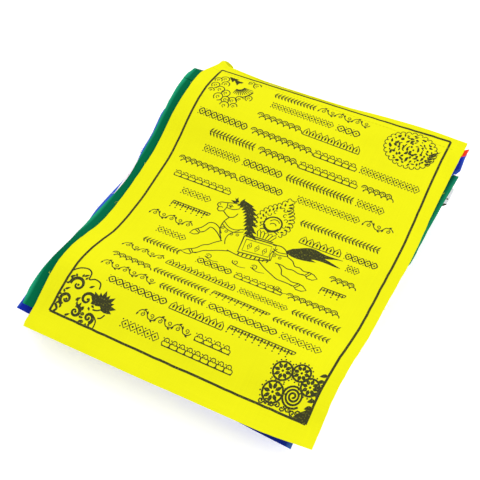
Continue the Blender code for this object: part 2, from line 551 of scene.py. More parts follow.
def lotus_border(left, right, y):
    xs, pitch = middles(left, right, 4.6)
    half = pitch / 2
    shapes = stroke([(left, y + 2.9), (right, y + 2.9)], 0.7)
    for x in xs:
        shapes += stroke([(x - half, y + 2.7), (x - half * 0.85, y - 0.4), (x, y - ROW_HALF),
                          (x + half * 0.85, y - 0.4), (x + half, y + 2.7)], 0.7)
        shapes += leaf((x, y + 2.2), (x, y - 1.5), 1.5, 3)
    return shapes


def scale_border(left, right, y):
    xs, pitch = middles(left, right, 4.6)
    shapes = []
    for x in xs:
        shapes += stroke(arc((x, y + 0.4), pitch / 2, 180, 360, 7), 0.75)
        shapes += stroke(arc((x, y + 0.4), pitch / 4, 180, 360, 4), 0.6)
        shapes += stroke(arc((x + pitch / 2, y + 2.9), pitch / 2, 180, 360, 7), 0.75)
        shapes += dot((x, y + 2.2), 0.6, 5)
    return shapes


def laurel_border(left, right, y):
    xs, _ = middles(left, right, 2.5)
    shapes = stroke([(left, y), (right, y)], 0.6)
    for x in xs:
        shapes += leaf((x - 0.8, y), (x + 1.2, y - ROW_HALF), 1.2, 3)
        shapes += leaf((x - 0.8, y), (x + 1.2, y + ROW_HALF), 1.2, 3)
    return shapes


def lozenge_border(left, right, y):
    xs, pitch = middles(left, right, 5.0)
    half = pitch / 2
    shapes = []
    for x in xs:
        shapes += stroke([(x - half, y), (x, y - 2.7), (x + half, y), (x, y + 2.7), (x - half, y)], 0.7)
        shapes += dot((x, y), 0.9, 4)
        shapes += dot((x - half, y - 2.3), 0.55, 5) + dot((x - half, y + 2.3), 0.55, 5)
    return shapes


def cloud_border(left, right, y):
    xs, pitch = middles(left, right, 5.6)
    shapes = stroke([(left, y + 2.8), (right, y + 2.8)], 0.7)
    for x in xs:
        shapes += stroke(arc((x - 1.6, y + 1.3), 1.4, 100, 300, 4), 0.65)
        shapes += stroke(arc((x + 1.5, y + 1.3), 1.4, 240, 440, 4), 0.65)
        shapes += stroke(spiral((x, y - 0.6), 2.1, 0.5, 150, 1.15, 9), 0.7, 0.5)
        shapes += dot((x - pitch / 2, y - 1.6), 0.5, 5)
    return shapes


def drop_border(left, right, y):
    xs, pitch = middles(left, right, 4.4)
    shapes = stroke([(left, y - 2.8), (right, y - 2.8)], 0.8)
    for x in xs:
        shapes += stroke(arc((x, y - 2.6), pitch / 2, 0, 180, 4), 0.6)
        shapes += leaf((x, y - 2.4), (x, y + 0.2), 1.3, 3)
        shapes += leaf((x - pitch / 2, y + 1.6), (x - pitch / 2, y - 2.4), 1.0, 3)
        shapes += dot((x - pitch / 2, y + 2.4), 0.6, 5)
    return shapes


def braid_border(left, right, y):
    xs, pitch = middles(left, right, 5.0)
    over = []
    under = []
    shapes = []
    for k, x in enumerate(xs):
        side = 1 if k % 2 else -1
        over += [(x - pitch / 2, y), (x, y + 2.4 * side)]
        under += [(x - pitch / 2, y), (x, y - 2.4 * side)]
        shapes += dot((x, y), 0.75, 5)
        shapes += dot((x - pitch / 2, y - 2.4), 0.45, 5) + dot((x - pitch / 2, y + 2.4), 0.45, 5)
    return shapes + curve(over + [(right, y)], 0.85, None, 3) + curve(under + [(right, y)], 0.85, None, 3)


BORDERS = [vine_border, lotus_border, scale_border, laurel_border, lozenge_border, cloud_border,
           drop_border, braid_border]
GROUP_LENGTHS = (24, 52)
GROUP_GAP = 3.0


def ornament_rows(chance):
    """Fills each row with a few lengths of border, with a gap between them."""
    shapes = []
    kind = 0
    for row in ROWS:
        left = row.left * BLOCK_WIDTH
        end = row.right * BLOCK_WIDTH
        while left < end - 2:
            right = left + chance.uniform(*GROUP_LENGTHS)
            if right > end - GROUP_LENGTHS[0] / 2:
                right = end
            kind = (kind + chance.randint(1, len(BORDERS) - 1)) % len(BORDERS)
            shapes += BORDERS[kind](left, right, row.down * BLOCK_HEIGHT)
            left = right + GROUP_GAP
    return shapes


def plain_rows():
    """The same rows in fewer, plainer shapes, for the flags that lie inside the pile."""
    shapes = []
    for row in ROWS:
        shapes += laurel_border(row.left * BLOCK_WIDTH, row.right * BLOCK_WIDTH, row.down * BLOCK_HEIGHT)
    return shapes


def ruled_frame(chance):
    """The frame's line, a little uneven, as it is carved."""
    corners = [(0, 0), (BLOCK_WIDTH, 0), (BLOCK_WIDTH, BLOCK_HEIGHT), (0, BLOCK_HEIGHT), (0, 0)]
    shapes = []
    for start, end in zip(corners, corners[1:]):
        points = []
        for i in range(FRAME_STEPS + 1):
            wobble = 0 if i in (0, FRAME_STEPS) else chance.uniform(-FRAME_WOBBLE, FRAME_WOBBLE)
            place = Vector(start).lerp(Vector(end), i / FRAME_STEPS)
            points.append((place.x + wobble, place.y + wobble))
        shapes += stroke(points, TOP_LINE if start == (0, 0) else FRAME_LINE)
    return shapes


def horse_head():
    shapes = curve([(63.5, 97.6), (59.6, 98.2), (55.6, 99.6), (52, 100.6), (50.3, 102), (50.2, 103.8),
                    (51.6, 104.9), (51.7, 106.8), (53.6, 108), (56.4, 107), (59, 108.6), (62.4, 110),
                    (65.4, 108.4), (66.6, 105)])
    shapes += leaf((61.2, 98.4), (60.4, 92.4), 2.0) + leaf((64, 97.6), (65.4, 91.6), 2.2)
    shapes += dot((51.8, 102.5), 0.6) + curve([(51.6, 104.9), (53.4, 104.2), (54.6, 104.6)], 0.6)
    shapes += dot((59.2, 101.8), 0.9) + curve([(57.4, 101.4), (59.2, 100.2), (61, 101.4)], 0.6)
    shapes += curve([(56, 99.6), (57, 103), (56.4, 107)], 0.7)
    shapes += curve([(57, 103.4), (62, 103.2), (66, 100.6)], 0.7)
    shapes += leaf((62, 97.2), (56.8, 96.6), 1.8) + leaf((63, 96.4), (58.6, 93.8), 1.6)
    return shapes


def horse_mane():
    """Overlapping locks down the crest of the neck."""
    shapes = []
    crest = through([(65.5, 95.6), (70.5, 98), (74.5, 103), (77.6, 109.5), (81.5, 116.5)], 5)
    for i, root in enumerate(crest):
        reach = 3.8 + 1.5 * (i % 3)
        shapes += leaf(root + Vector((-2.2, -0.6)), root + Vector((reach, -1.3 + 0.25 * i)), 2.9)
        shapes += leaf(root + Vector((0.8, -1.2)), root + Vector((-2.4 - (i % 2), 3.6)), 2.1)
    return shapes


def horse_body():
    shapes = curve([(62.6, 110), (61, 114), (60.8, 118.5), (62.4, 123.5), (66, 128.5)], 0.8)
    shapes += curve([(74, 135.4), (82, 136.4), (90, 136), (98, 133.8), (104, 131)], 0.8)
    shapes += curve([(100, 118.8), (105, 117.6), (109.6, 119.4), (113, 123.6)], 0.8)
    shapes += curve([(74, 117), (69.5, 122), (68.6, 127), (70.4, 131.6)], 0.65)
    shapes += curve([(104, 120.5), (101.5, 126), (103.6, 131.2)], 0.65)
    straps = [[(61.2, 114.4), (66, 117.4), (71, 117.8), (76, 115)],
              [(61, 116.8), (66, 119.6), (71.4, 120), (77, 117)],
              [(101, 121.4), (106, 122.8), (111.6, 121.6)],
              [(101, 123.4), (106, 124.8), (112.4, 123.6)]]
    for strap in straps:
        shapes += curve(strap, 0.65)
    for x, y in ((62.6, 119.4), (66.2, 121.4), (70.4, 122), (74.4, 121), (104.4, 126.4), (108.6, 126.6)):
        shapes += stroke(arc((x, y), 1.0, 0, 360, 7), 0.5) + dot((x, y), 0.35, 5)
    return shapes


def horse_legs():
    """Two forelegs reaching out, one of them bent, and two hind legs thrown back."""
    outlines = [
        [(64, 124.4), (60.5, 120.6), (56, 118.6), (52.4, 119.6), (51, 122.6), (49.6, 125.4), (47.6, 127.4)],
        [(67, 130), (62.6, 126), (58.6, 123.4), (55.2, 122.6), (54, 125), (53, 127.6), (50.8, 129.4)],
        [(67.4, 129.6), (63.6, 133.2), (61, 136.6), (57.6, 139), (55.2, 143), (52.6, 145.2)],
        [(76, 135.6), (69, 138.4), (64.8, 140.8), (60.6, 143), (58, 146), (55.2, 147.8)],
        [(113, 123.8), (117.4, 125.4), (120.4, 128.6), (124, 128.4), (127.4, 129.8), (131.2, 129)],
        [(107.6, 131.6), (112.4, 131.4), (116.6, 132.6), (120.6, 132), (125, 133), (129.4, 132.4)],
        [(109.6, 131.4), (113.6, 134.6), (115.6, 138.6), (119.4, 139.4), (124, 141), (128.6, 140.4)],
        [(97, 134.6), (103, 138.4), (109.6, 141.4), (114.6, 143.4), (120.4, 143.4), (126.6, 143.8)],
    ]
    shapes = []
    for outline in outlines:
        shapes += curve(outline, 0.75, None, 3)
    hooves = [
        [(47.6, 127.4), (45.4, 130), (44.6, 133), (47.6, 133), (50, 131.6), (50.8, 129.4)],
        [(52.6, 145.2), (49.8, 147.2), (47.6, 150.2), (51, 150.8), (54, 150.2), (55.2, 147.8)],
        [(131.2, 129), (134.6, 129.6), (138, 131.8), (135.4, 134), (131.8, 134.2), (129.4, 132.4)],
        [(128.6, 140.4), (132, 141), (135.4, 143.4), (132.8, 145.4), (129, 145.6), (126.6, 143.8)],
    ]
    for hoof in hooves:
        shapes += stroke(hoof + hoof[:1], 0.75)
        rim = [Vector(point) for point in hoof]
        shapes += stroke([(rim[0] + rim[1]) / 2, (rim[4] + rim[5]) / 2], 0.7)
        shapes += leaf(rim[5], rim[5] + (rim[5] - rim[2]) * 0.35, 1.0, 3)
    return shapes


def horse_tail():
    """A full tail that streams back in overlapping locks and ends in two points."""
    shapes = []
    for k in range(6):
        rise = k - 2.5
        shapes += leaf((110, 120 + 0.3 * rise), (128 + 2 * (k % 3), 115.6 + 1.7 * rise), 4.2, 5)
        tip = (147 - 1.5 * (k % 3), 111.6) if k < 3 else (148 - 1.5 * (k % 3), 118)
        shapes += curve([(114, 118.4 + 0.5 * rise), (124, 114.8 + 1.3 * rise), (135, 114.8 + rise), tip],
                        2.6, 0.4)
    return shapes


def saddle_cloth():
    cloth = [(79, 119.5), (102, 118), (104, 131), (81, 133.6), (79, 119.5)]
    inner = [(81.5, 121.5), (99.8, 120.2), (101.4, 129.2), (83, 131.2), (81.5, 121.5)]
    shapes = stroke(cloth, 1.0) + stroke(inner, 0.6)
    for x in (86, 91.5, 97):
        shapes += stroke([(x - 1.4, 126), (x, 123), (x + 1.4, 125.8), (x, 128.8), (x - 1.4, 126)], 0.6)
        shapes += dot((x, 125.9), 0.6, 5)
    for i in range(8):
        shapes += leaf((82.4 + 2.9 * i, 133.4 - 0.33 * i), (82 + 2.9 * i, 136.8 - 0.33 * i), 1.2, 3)
    return shapes


def flaming_jewel():
    """A jewel on a lotus foot, in a leaf-shaped halo of curling flames."""
    middle = Vector((92, 103.5))
    shapes = stroke(arc(middle, 6.2, 0, 360, 20), 1.2) + stroke(arc(middle, 5.4, 20, 160, 8), 0.9)
    shapes += stroke(arc(middle + Vector((0.6, -0.6)), 3.6, 200, 330, 7), 0.7)
    shapes += stroke(arc(middle + Vector((0.4, 1.4)), 2.4, 200, 340, 5), 0.7)
    shapes += curve([(85.5, 110), (88.6, 108.8), (92, 110.4), (95.4, 108.8), (98.5, 110)], 0.9)
    for k in range(-2, 3):
        shapes += stroke([(92 + 1.9 * k - 1, 116.6), (92 + 2.8 * k - 1.3, 112.6), (92 + 3 * k, 110.8),
                          (92 + 2.8 * k + 1.3, 112.6), (92 + 1.9 * k + 1, 116.6)], 0.65)
    shapes += stroke([(85, 117.6), (99, 117)], 0.9)
    halo = through([(83.6, 109), (80.8, 102.5), (81.8, 96), (85.6, 90.6), (90.6, 86.4), (95.4, 80.4),
                    (97, 86.8), (100.4, 91.6), (102.8, 98), (102.6, 105), (99.4, 110.6)], 2)
    for i in range(len(halo) - 1):
        start, end = halo[i], halo[i + 1]
        out = Vector((end.y - start.y, start.x - end.x)).normalized()
        crest = (start + end) / 2 + out * 1.9
        curl = [start, crest + (start - end) * 0.15, crest + (end - start) * 0.35, end]
        shapes += curve(curl, 0.7, 0.6, 2)
        root = start.lerp(middle, 0.2)
        shapes += leaf(root, root + out * 2.2 + Vector((1.0, -1.6)), 1.5, 3)
        if i % 2:
            shapes += stroke(arc(start.lerp(middle, 0.32), 1.3, 60 * i, 60 * i + 240, 6), 0.6)
    return shapes


def wind_curls():
    """Small curls of wind under and behind the horse."""
    shapes = []
    for x, y, turns in ((66, 146, 1.2), (84, 142.5, -1.2), (97, 141, 1.2), (118, 150, -1.2)):
        shapes += stroke(spiral((x, y), 2.4, 0.6, 200, turns, 9), 0.7, 0.5)
        shapes += curve([(x - 2.3, y + 0.8), (x + 3, y + 2.6), (x + 8, y + 1.6)], 0.7, 0.4)
    return shapes


def cloud_figure(chance):
    """Top left: airy clouds with two dark birds over a fan of rays."""
    shapes = []
    clouds = ((4, 12, 2.6), (8, 9, 3), (5, 18, 3), (11, 14, 2.8), (10, 21, 3.4), (15.5, 22.5, 3.2),
              (12, 27.5, 3.4), (18, 28, 3), (23, 27, 3.2), (27, 23.5, 2.8), (19.5, 33, 3.4),
              (26, 31, 2.6), (32.5, 20, 2.6), (4.5, 24, 2.2), (32, 5.5, 2.8), (27, 4.5, 2.2))
    for x, y, radius in clouds:
        shapes += stroke(arc((x, y), radius, chance.uniform(90, 180), chance.uniform(330, 460), 9), 0.75)
        shapes += stroke(spiral((x, y), radius * 0.5, 0.3, 90, 1.0, 6), 0.55)
    for x, y in ((13, 6.5), (17.5, 8)):
        shapes += dot((x, y), 1.9) + leaf((x, y), (x + 4, y - 1.5), 2.4)
        shapes += leaf((x, y), (x - 3.6, y - 1.6), 2.2) + leaf((x, y), (x + 1, y + 3.4), 1.8)
    fan = Vector((21, 11.5))
    for k in range(11):
        way = heading(math.radians(2 + 9.5 * k))
        shapes += stroke([fan + way * 3.4, fan + way * (11.0 - 0.25 * k)], 0.85, 0.5)
    shapes += stroke(arc(fan, 11.6, 8, 60, 9), 1.3, 0.7)
    return shapes


def roundel_figure(chance):
    """Top right: a dense round cluster of small petals, with a leafy tip to the right."""
    shapes = []
    middle = Vector((155, 16))
    for ring, count in ((2.2, 6), (4.8, 13), (7.4, 19), (10.1, 25), (12.8, 30)):
        for k in range(count):
            angle = 2 * math.pi * (k + chance.uniform(-0.45, 0.45)) / count
            reach = ring + chance.uniform(-0.6, 0.6)
            place = middle + Vector((1.15 * reach * math.cos(angle), 0.86 * reach * math.sin(angle)))
            tilt = angle + chance.uniform(0.2, 2.2)
            half = heading(tilt) * chance.uniform(0.8, 2.0)
            shapes += leaf(place - half, place + half, chance.uniform(0.9, 2.3), 3)
    for k in range(26):
        angle = 2 * math.pi * k / 26
        place = middle + Vector((17.2 * math.cos(angle), 12.8 * math.sin(angle)))
        shapes += stroke(arc(place, 1.7, math.degrees(angle) - 100, math.degrees(angle) + 100, 5), 0.65)
    for k in range(5):
        shapes += leaf((168, 17 + 1.6 * k), (175.5 - 0.8 * k, 11 + 2.6 * k), 1.5)
    return shapes


def scroll_figure(chance):
    """Bottom left: bold scrolls and a dark bush, under the line of a hill."""
    shapes = curve([(0.5, 203), (4, 199.5), (9, 198), (12.5, 200), (13.5, 204.5), (17, 203), (21.5, 204),
                    (23, 208)], 1.0)
    scrolls = ((8.5, 210.5, 5.4, 170, 1.1), (19, 216.5, 5.0, 20, -1.2), (6, 221.5, 4.2, 100, 1.2),
               (15.5, 226.2, 3.8, 250, 1.1), (25.5, 226.5, 3.4, 60, -1.1))
    for x, y, radius, start, turns in scrolls:
        shapes += stroke(spiral((x, y), radius, 0.9, start, turns, 16), 2.5, 1.0)
        for k in range(5):
            way = heading(math.radians(start + 34 * k + chance.uniform(-8, 8)))
            shapes += leaf(Vector((x, y)) + way * radius, Vector((x, y)) + way * (radius + 2.8), 1.6, 3)
        shapes += dot((x + 0.4, y), 0.9, 6)
    bush = Vector((29, 217.5))
    for k in range(9):
        way = heading(math.radians(-158 + 21 * k))
        shapes += leaf(bush, bush + way * (9.2 + 1.6 * (k % 2)), 4.0)
    shapes += curve([(25.5, 221), (29, 220.2), (33.5, 216.5)], 1.0)
    shapes += curve([(31, 224.5), (33, 223.6), (34.5, 221)], 0.9)
    shapes += curve([(28.5, 224.5), (31, 227), (31.4, 231.5)], 0.9)
    shapes += curve([(1, 226.5), (3.5, 229), (2.5, 231.4)], 1.6)
    sprigs = ((10.5, 203), (17.6, 208.4), (3.5, 215.2), (13.4, 218.4), (11.5, 230), (21.5, 230.2),
              (2.6, 206.6))
    for x, y in sprigs:
        shapes += leaf((x - 1.4, y + 1.2), (x + 1.8, y - 1.4), 1.7, 3)
    return shapes


def petal_figure():
    """Bottom right: three dotted flowers and a spiral, packed into the corner."""
    shapes = []
    for x, y, radius in ((152, 209, 4.6), (163, 206, 4.2), (152, 222.5, 5.0), (171.5, 212, 4.2)):
        for k in range(8):
            way = heading(2 * math.pi * k / 8)
            shapes += leaf(Vector((x, y)) + way * 1.6, Vector((x, y)) + way * (radius + 1.2), 2.4)
        shapes += stroke(arc((x, y), radius + 1.3, 0, 360, 18), 1.3)
        shapes += dot((x, y), 0.9, 6)
        for k in range(16):
            way = heading(2 * math.pi * (k + 0.5) / 16)
            shapes += dot(Vector((x, y)) + way * (radius + 2.6), 0.6, 5)
    shapes += stroke(spiral((164.5, 220.5), 7.0, 0.6, 40, 3.2, 60), 1.3)
    for k in range(9):
        shapes += stroke(spiral((147.5 + 3.4 * k, 229.2 - (k % 2)), 1.9, 0.4, 70 * k, 1.2, 8), 0.95)
    for k in range(7):
        shapes += leaf((177.6, 201 + 4.2 * k), (173.4, 203.6 + 4.2 * k), 2.6)
    corner = ((178, 232), (168.5, 232), (171.5, 227.5), (174.5, 225), (178, 221.5))
    shapes.append([Vector(point) for point in corner])
    return shapes


def block_shapes(detailed):
    chance = random.Random(PRINT_SEED)
    shapes = ruled_frame(chance)
    if not detailed:
        return shapes + plain_rows()
    shapes += ornament_rows(chance)
    shapes += horse_head() + horse_mane() + horse_body() + horse_legs() + horse_tail()
    shapes += saddle_cloth() + flaming_jewel() + wind_curls()
    shapes += cloud_figure(chance) + roundel_figure(chance) + scroll_figure(chance) + petal_figure()
    return shapes


# Flags
# Each flag is one piece of thin cotton cloth, cut with raw edges. Its top edge is turned over the
# cord and stitched down as a hem. The flags lie on each other, so only the top one shows its print,
# and the lower ones show their edges and here and there a corner.
CLOTH = 0.3 * MM
HEM_RADIUS = 1.0 * MM
CLOTH_MIDDLE = 0.6 * MM
FLAP_STEP = 0.36 * MM
EDGE_WOBBLE = 0.25 * MM
FINE_GRID = 3.0 * MM
COARSE_GRID = 5.0 * MM
HEM_GRID = 0.8 * MM
HEM_ARC_STEPS = 8

RIPPLE = 0.3 * MM
LOWEST_RIPPLE = 0.15 * MM
INK_INSIDE = 0.35

Station = namedtuple("Station", "run along over angle")

# How far some raw edges lie off a straight cut
SideCut = namedtuple("SideCut", "along left right")
SIDE_CUTS = {
    "yellow_upper": [
        SideCut(-127, -0.8, 0.3), SideCut(-90, -2.3, -0.3), SideCut(-50, -1.4, -0.9),
        SideCut(-15, -1.3, -0.8),
        SideCut(20, -0.5, 0.2), SideCut(60, 0.7, 0.6), SideCut(90, 2.8, 1.9), SideCut(108, 2.8, 2.9),
        SideCut(125, 2.8, 3.2),
    ],
    "green_upper": [
        SideCut(-114, -0.5, 0), SideCut(-100, -1.3, 0), SideCut(-75, 1.5, 0), SideCut(-60, 2.1, 0),
        SideCut(-28, -1.0, 0), SideCut(12, 2.0, 0), SideCut(36, 0.2, 0), SideCut(77, -0.8, 0),
        SideCut(104, -1.5, 0), SideCut(110, -0.6, 0), SideCut(115, 1.2, 0),
    ],
    "blue_upper": [
        SideCut(-126, 0, 2.4), SideCut(-112, 0, 0.8), SideCut(-100, 0, 0), SideCut(-60, 0, 0),
        SideCut(-45, -1.5, 0), SideCut(-32, -3.4, 0), SideCut(-14, -3.1, 0), SideCut(5, -1.9, 0),
        SideCut(20, -3.0, 0), SideCut(30, -4.9, 0), SideCut(44, -5.7, 0), SideCut(57, -7.3, 0),
        SideCut(66, -7.6, 0), SideCut(74, 0, 0),
    ],
    "green_lower": [
        SideCut(-119, 0, 0), SideCut(20, 0, 0.4), SideCut(35, 0, 2.6), SideCut(65, 0, 1.6),
        SideCut(119, 0, 1.4),
    ],
}

EndCut = namedtuple("EndCut", "across along")
END_CUTS = {
    "yellow_upper": [
        EndCut(-100, -1.4), EndCut(-60, -1.4), EndCut(-20, -0.7), EndCut(10, 0.1),
        EndCut(50, -0.9), EndCut(75, 0.3), EndCut(90, 1.4), EndCut(100, 2.4),
    ],
}

InkBlot = namedtuple("InkBlot", "across along radius")
INK_BLOTS = {
    "white_lower": [
        InkBlot(99.0, 97.2, 2.0), InkBlot(98.6, 103.4, 0.7),
    ],
}


def fold_stations(index, spacing):
    """Places along the cloth's middle from the free end, round the cord, to the hem's edge."""
    tube_along, tube_over = hem_middle(index)
    if not hem_is_under(index):
        tube_over = SOLID_CLOTH - tube_over
    free_end = -FLAGS[index].length * MM / 2
    pinch = tube_along - PINCH
    path = []
    count = round((pinch - free_end) / spacing)
    for i in range(count + 1):
        path.append((free_end + (pinch - free_end) * i / count, CLOTH_MIDDLE))
    steps = round(PINCH / HEM_GRID)
    for i in range(1, steps):
        f = i / steps
        lift = (tube_over + HEM_RADIUS - CLOTH_MIDDLE) * smooth_step(f)
        path.append((pinch + PINCH * f, CLOTH_MIDDLE + lift))
    for i in range(HEM_ARC_STEPS + 1):
        angle = math.pi / 2 - math.pi * i / HEM_ARC_STEPS
        path.append((tube_along + HEM_RADIUS * math.cos(angle), tube_over + HEM_RADIUS * math.sin(angle)))
    flap_over = CLOTH_MIDDLE - FLAP_STEP
    for i in range(1, steps + 1):
        f = i / steps
        low = tube_over - HEM_RADIUS
        path.append((tube_along - PINCH * f, low + (flap_over - low) * smooth_step(f)))
    flap = HEM_DEPTH - PINCH
    for i in range(1, 4):
        path.append((pinch - flap * i / 3, flap_over))
    stations = []
    run = 0
    for i, (along, over) in enumerate(path):
        before = path[max(i - 1, 0)]
        after = path[min(i + 1, len(path) - 1)]
        run += math.hypot(along - before[0], over - before[1])
        angle = math.atan2(after[1] - before[1], after[0] - before[0])
        stations.append(Station(run, along, over, angle))
    return stations


def cloth_length(index):
    return fold_stations(index, FINE_GRID)[-1].run


def along_to_run(index, along):
    """Distance along the cloth of a place on its plain part."""
    return along + FLAGS[index].length * MM / 2


def ripple(index, across, run):
    """Small unevenness of the cloth, as height."""
    place = Vector((across / (34 * MM), run / (26 * MM), index * 7.3))
    return (LOWEST_RIPPLE if index == LOWEST else RIPPLE) * noise.noise(place)


def cloth_place(index, stations, runs, across, run, side):
    """Place of a point of the cloth: side is half the cloth's thickness, to its outside or inside."""
    i = min(max(bisect_right(runs, run) - 1, 0), len(stations) - 2)
    start, end = stations[i], stations[i + 1]
    f = min(max((run - start.run) / max(end.run - start.run, 1e-9), 0), 1)
    turn = (end.angle - start.angle + math.pi) % (2 * math.pi) - math.pi
    angle = start.angle + turn * f
    along = start.along + (end.along - start.along) * f - side * math.sin(angle)
    over = start.over + (end.over - start.over) * f + side * math.cos(angle)
    if not hem_is_under(index):
        over = SOLID_CLOTH - over
    return pile_point(index, across, along, over + ripple(index, across, run))


def cloth_edge(index, stations, spacing):
    """The cut outline, counterclockwise: the free end, the right side, the hem's edge, the left."""
    half_width = FLAG_WIDTH / 2
    count = round(FLAG_WIDTH / spacing)
    across_steps = [-half_width + FLAG_WIDTH * i / count for i in range(count + 1)]
    name = FLAGS[index].name
    side_cuts = SIDE_CUTS.get(name, [SideCut(-100, 0, 0), SideCut(100, 0, 0)])
    end_cuts = END_CUTS.get(name, [EndCut(-100, 0), EndCut(100, 0)])
    left_cut = smooth_table(side_cuts, "left")
    right_cut = smooth_table(side_cuts, "right")
    end_cut = smooth_table(end_cuts, "along")

    def wobble(place, side):
        return EDGE_WOBBLE * noise.noise(Vector((place / (6 * MM), 3.7 * side, index)))

    edge = []
    for across in across_steps[:-1]:
        edge.append((across, end_cut(across / MM) * MM + wobble(across, 1)))
    for station in stations[:-1]:
        cut = right_cut(station.along / MM) * MM + wobble(station.run, 2)
        run = station.run if station.run > 0 else end_cut(half_width / MM) * MM
        edge.append((half_width + cut, run))
    for across in across_steps[:0:-1]:
        edge.append((across, stations[-1].run + wobble(across, 3)))
    for station in stations[:0:-1]:
        edge.append((-half_width + left_cut(station.along / MM) * MM + wobble(station.run, 4), station.run))
    return edge


def counterclockwise(shape):
    area = 0
    for start, end in zip(shape, shape[1:] + shape[:1]):
        area += start[0] * end[1] - end[0] * start[1]
    return shape if area > 0 else shape[::-1]


PRINT_CORNERS = [(-85.2, 119.9), (92.2, 123.4), (90.4, -111.2), (-90.8, -110.6)]


def printed_place(index, point):
    """Place on the cloth, across and along the cloth in metres, of a point of the block."""
    p = point[0] / BLOCK_WIDTH
    q = point[1] / BLOCK_HEIGHT
    top_left, top_right, low_right, low_left = (Vector(corner) for corner in PRINT_CORNERS)
    place = top_left.lerp(top_right, p).lerp(low_left.lerp(low_right, p), q)
    scale = FLAGS[index].length / FLAGS[0].length
    facing = 1 if hem_is_under(index) else -1
    return facing * place.x * MM, along_to_run(index, place.y * MM * scale)


def make_flag(index):
    """Cuts the cloth and its print as one flat net of triangles, then lays it in the pile."""
    flag = FLAGS[index]
    spacing = FINE_GRID if index == 0 else COARSE_GRID
    stations = fold_stations(index, spacing)
    runs = [station.run for station in stations]
    edge = cloth_edge(index, stations, spacing)
    shapes = [edge]
    for shape in block_shapes(index == 0):
        shapes.append([printed_place(index, point) for point in shape])
    for blot in INK_BLOTS.get(flag.name, []):
        middle = Vector((blot.across * MM, along_to_run(index, blot.along * MM)))
        shapes += dot(middle, blot.radius * MM, 9)
    points = []
    faces = []
    for shape in shapes:
        outline = counterclockwise([tuple(point) for point in shape])
        faces.append(list(range(len(points), len(points) + len(outline))))
        points += outline
    columns = round(FLAG_WIDTH / spacing)
    for station in stations[1:-1]:
        for i in range(2, columns - 1):
            points.append((-FLAG_WIDTH / 2 + FLAG_WIDTH * i / columns, station.run))
    flat = [Vector(point) / MM for point in points]
    net = geometry.delaunay_2d_cdt(flat, [], faces, 0, 0.01, True)
    net_points, _, net_faces, _, _, sources = net
    cloth_faces = [i for i, owners in enumerate(sources) if 0 in owners]

    bm = bmesh.new()
    across_key = bm.verts.layers.float.new("across")
    run_key = bm.verts.layers.float.new("run")
    ink_key = bm.faces.layers.float.new("ink")
    verts = []
    for point in net_points:
        vert = bm.verts.new((point.x * MM, point.y * MM, 0))
        vert[across_key] = point.x * MM
        vert[run_key] = point.y * MM
        verts.append(vert)
    for i in cloth_faces:
        corners = [verts[j] for j in net_faces[i]]
        face = bm.faces.get(corners) or bm.faces.new(corners)
        face[ink_key] = 1.0 if len(sources[i]) > 1 else 0.0
    loose = [vert for vert in bm.verts if not vert.link_faces]
    bmesh.ops.delete(bm, geom=loose, context="VERTS")
    outside_faces = list(bm.faces)
    inside = bmesh.ops.extrude_face_region(bm, geom=outside_faces, use_keep_orig=True)
    inside_verts = {item for item in inside["geom"] if isinstance(item, bmesh.types.BMVert)}
    inside_faces = {item for item in inside["geom"] if isinstance(item, bmesh.types.BMFace)}
    for face in inside_faces:
        face[ink_key] *= INK_INSIDE
    uv_layer = bm.loops.layers.uv.new("cloth")
    for face in bm.faces:
        for loop in face.loops:
            loop[uv_layer].uv = (loop.vert[across_key], loop.vert[run_key])
    for vert in bm.verts:
        side = -CLOTH / 2 if vert in inside_verts else CLOTH / 2
        vert.co = cloth_place(index, stations, runs, vert[across_key], vert[run_key], side)
    bmesh.ops.recalc_face_normals(bm, faces=bm.faces)
    mesh = bpy.data.meshes.new(flag.name + "_cloth")
    bm.to_mesh(mesh)
    bm.free()
    mesh.shade_smooth()
    mesh.set_sharp_from_angle(angle=math.radians(60))
    return add_object(flag.name + "_cloth", mesh)


# The dye of the cloth, a paler colour painted along its side edges as a highlight, and the strength of a
# painted glow that stands in for light bounced up into the pile
Dye = namedtuple("Dye", "cloth edge light_through")
DYES = {
    "yellow": Dye((0.83, 0.82, 0.008, 1), (0.83, 0.82, 0.008, 1), 0),
    "green": Dye((0.0, 0.145, 0.060, 1), (0.02, 0.42, 0.22, 1), 0),
    "red": Dye((0.83, 0.030, 0.014, 1), (0.85, 0.08, 0.04, 1), 0),
    "white": Dye((0.90, 0.87, 0.94, 1), (0.93, 0.91, 0.95, 1), 0.22),
    "blue": Dye((0.008, 0.025, 0.42, 1), (0.06, 0.16, 0.75, 1), 0),
}
# Where the painted highlight on the side edges starts across the cloth, and how far out it grows
EDGE_START = 99.5 * MM
EDGE_DEPTH = 2.5 * MM
INK_COLOUR = (0.045, 0.047, 0.018, 1)
THREAD_PITCH = 0.7 * MM


